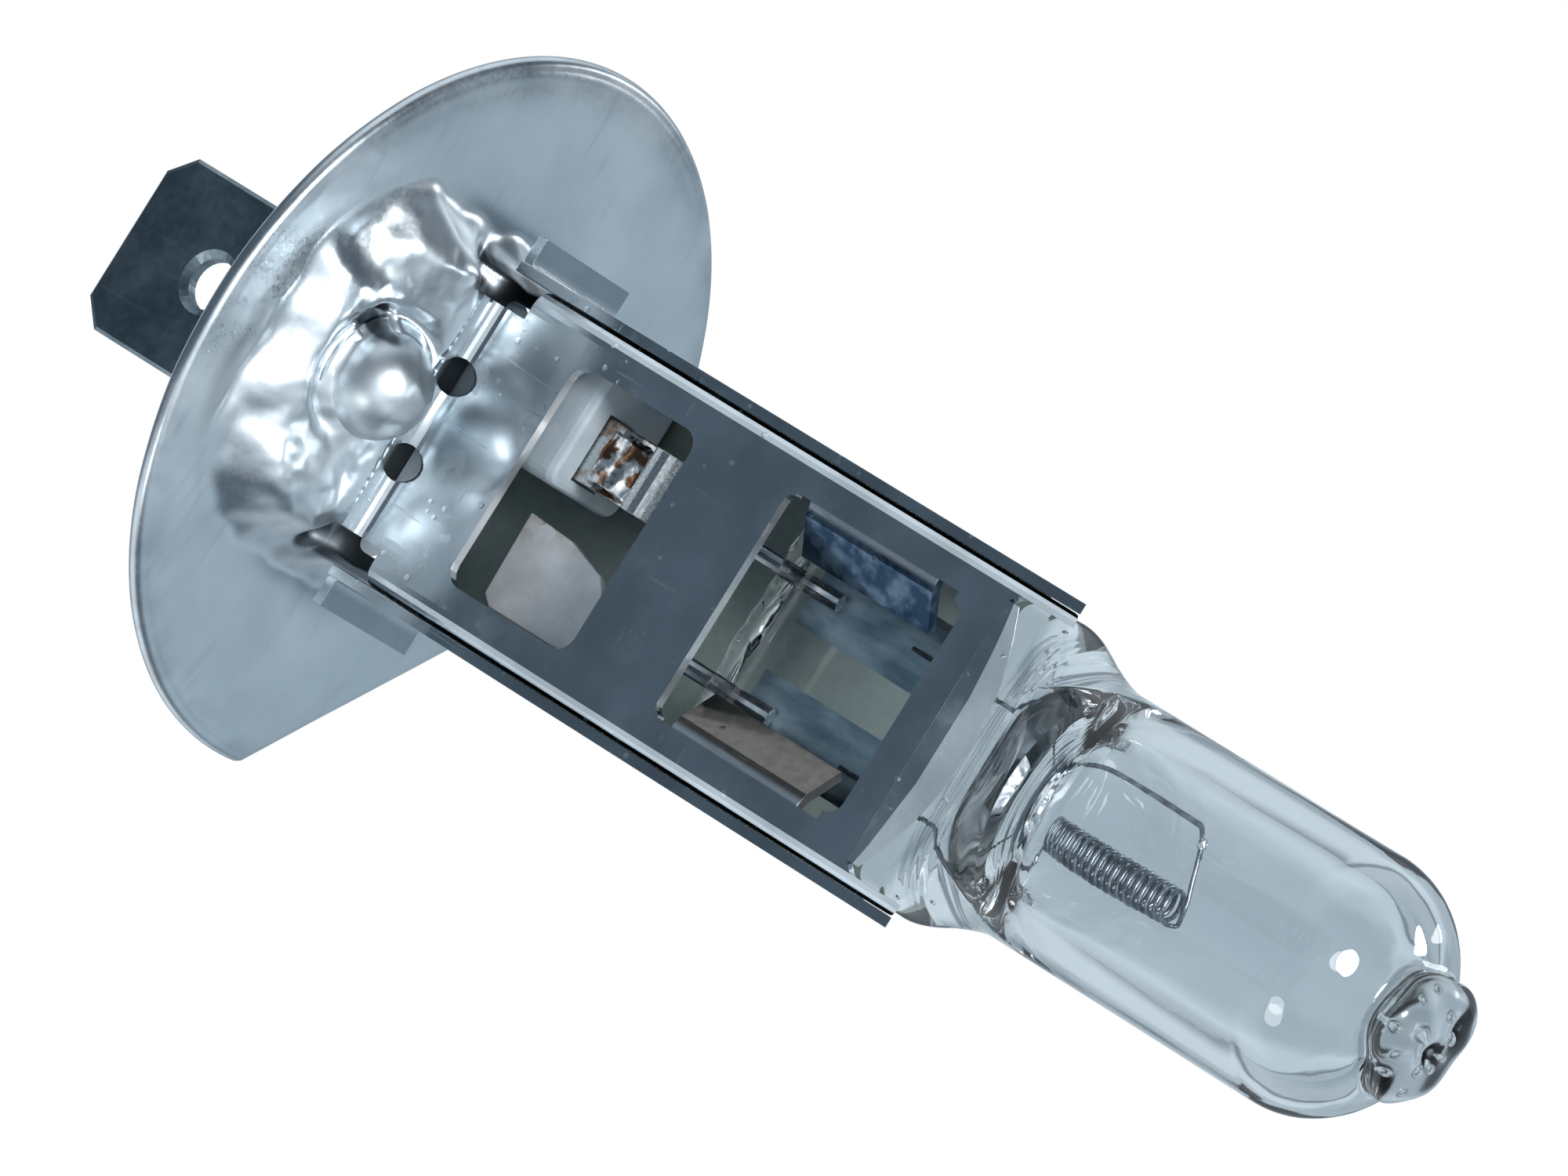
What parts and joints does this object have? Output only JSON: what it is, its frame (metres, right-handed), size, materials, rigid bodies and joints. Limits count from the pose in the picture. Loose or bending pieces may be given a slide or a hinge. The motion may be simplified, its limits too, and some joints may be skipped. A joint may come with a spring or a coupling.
{
  "type": "halogen headlight bulb",
  "caption": "Single-filament halogen headlight bulb: quartz tube pinched in a folded metal sleeve on a round flange, with a flat push-on terminal blade behind.",
  "frame": {"origin": "centre of the flange disc on its front (reference) face", "axes": "+Z along the bulb axis towards the glass tip, X across the width of the blade and sleeve, the sleeve's windows face -Y"},
  "size_m": [0.0244, 0.0244, 0.0568],
  "materials": {
    "disc_steel": "satin plated",
    "sleeve_steel": "bright",
    "quartz": "clear",
    "tungsten": "dull metallic",
    "molybdenum": "drawn",
    "foil": "foil",
    "nickel_strip": "rolled, heat tinted",
    "ceramic": "matte ceramic",
    "blade_metal": "dark slate",
    "rivet_metal": "satin"
  },
  "bodies": {
    "root": {"flange_disc": "disc_steel", "sleeve_front": "sleeve_steel", "sleeve_rear": "sleeve_steel", "quartz_envelope": "quartz", "filament": "tungsten", "long_lead": "tungsten", "short_lead": "tungsten", "long_lead_clamp": "tungsten", "short_lead_clamp": "tungsten", "live_foil": "foil", "ground_foil": "foil", "live_outer_lead": "molybdenum", "ground_outer_lead": "molybdenum", "live_strip": "nickel_strip", "ground_tab": "nickel_strip", "insulator_core": "ceramic", "insulator_base": "ceramic", "terminal_blade": "blade_metal", "blade_rivet_left": "rivet_metal", "blade_rivet_right": "rivet_metal"}
  },
  "joints": []
}
